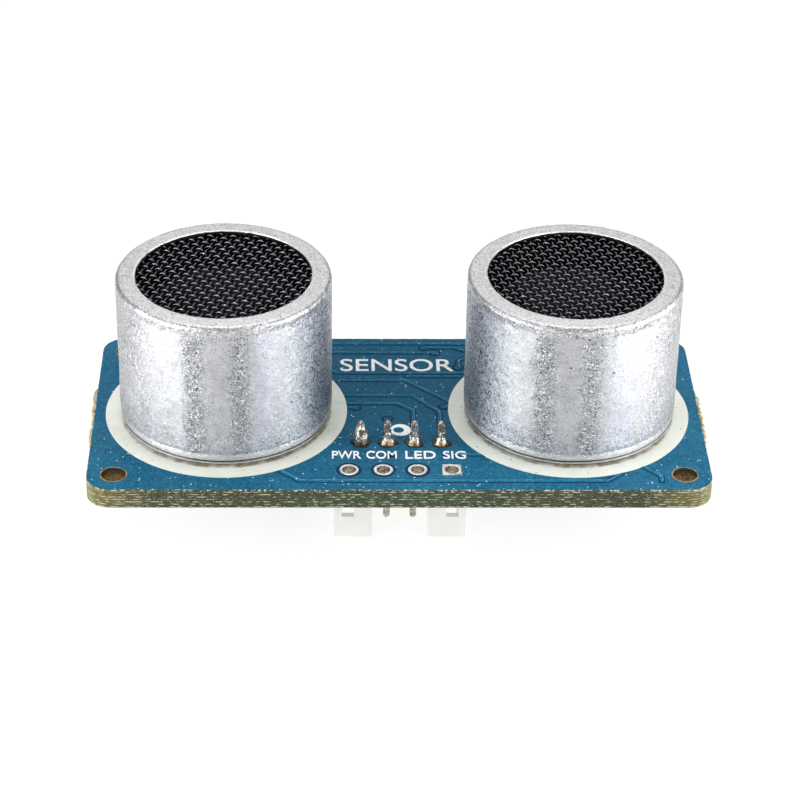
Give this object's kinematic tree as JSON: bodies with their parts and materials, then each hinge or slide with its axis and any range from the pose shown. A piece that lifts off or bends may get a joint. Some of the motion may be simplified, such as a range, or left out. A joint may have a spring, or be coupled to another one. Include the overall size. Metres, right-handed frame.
{
  "type": "ultrasonic distance sensor",
  "caption": "Flat blue circuit board with a pair of upright aluminium ultrasonic transducers, pale discs around them, and a plug header underneath.",
  "frame": {"origin": "centre of the mounting-hole pattern, on the board's underside", "axes": "+Z out of the transducers, the way the sensor looks; +X along the board from transmitter to receiver; +Y from the header side to the back edge"},
  "size_m": [0.0468, 0.0214, 0.0196],
  "materials": {
    "board": "blue solder mask over woven glass laminate, satin, with copper relief showing through",
    "light_disc": "pale cream print, flat",
    "can_aluminium": "satin drawn aluminium, pitted and scratched, bright worn rim",
    "screen": "black woven wire mesh, satin",
    "horn": "plain spun aluminium",
    "plate": "plain rolled brass",
    "piezo": "fired ceramic, matte",
    "silicone": "soft white sealant",
    "base_moulding": "dark brown phenolic moulding, matte",
    "lead_wire": "red insulated wire",
    "tinned": "tinned metal, dull bright",
    "solder": "solder, bright, with amber flux in the creases",
    "header_nylon": "natural white nylon, slightly translucent",
    "chip_epoxy": "black moulding compound, fine matte grain",
    "crystal_ceramic": "tan ceramic",
    "led_housing": "white heat-resistant plastic",
    "led_lens": "clear yellowish encapsulant",
    "resistor_body": "black glaze",
    "capacitor_body": "tan fired ceramic",
    "bulk_body": "yellow moulded epoxy"
  },
  "bodies": {
    "root": {"circuit_board": "board", "light_disc_left": "light_disc", "light_disc_right": "light_disc", "header_pads": "tinned", "transmitter_can": "can_aluminium", "transmitter_screen": "screen", "transmitter_horn": "horn", "transmitter_plate": "plate", "transmitter_piezo": "piezo", "transmitter_adhesive": "silicone", "transmitter_base": "base_moulding", "transmitter_leads": "lead_wire", "transmitter_pins": "tinned", "transmitter_joints": "solder", "receiver_can": "can_aluminium", "receiver_screen": "screen", "receiver_horn": "horn", "receiver_plate": "plate", "receiver_piezo": "piezo", "receiver_adhesive": "silicone", "receiver_base": "base_moulding", "receiver_leads": "lead_wire", "receiver_pins": "tinned", "receiver_joints": "solder", "connector_housing": "header_nylon", "contact_pin_1": "tinned", "contact_joint_1": "solder", "contact_pin_2": "tinned", "contact_joint_2": "solder", "contact_pin_3": "tinned", "contact_joint_3": "solder", "contact_pin_4": "tinned", "contact_joint_4": "solder", "controller_body": "chip_epoxy", "controller_leads": "tinned", "amplifier_body": "chip_epoxy", "amplifier_leads": "tinned", "driver_body": "chip_epoxy", "driver_leads": "tinned", "crystal_base": "crystal_ceramic", "crystal_lid": "tinned", "led_housing_1": "led_housing", "led_housing_2": "led_housing", "led_housing_3": "led_housing", "led_housing_4": "led_housing", "led_housing_5": "led_housing", "led_housing_6": "led_housing", "led_lenses": "led_lens", "led_terminals": "tinned", "resistor_bodies": "resistor_body", "resistor_ends": "tinned", "capacitor_bodies": "capacitor_body", "capacitor_ends": "tinned", "transistor_body": "chip_epoxy", "transistor_leads": "tinned", "bulk_capacitor": "bulk_body", "bulk_capacitor_ends": "tinned"}
  },
  "joints": []
}
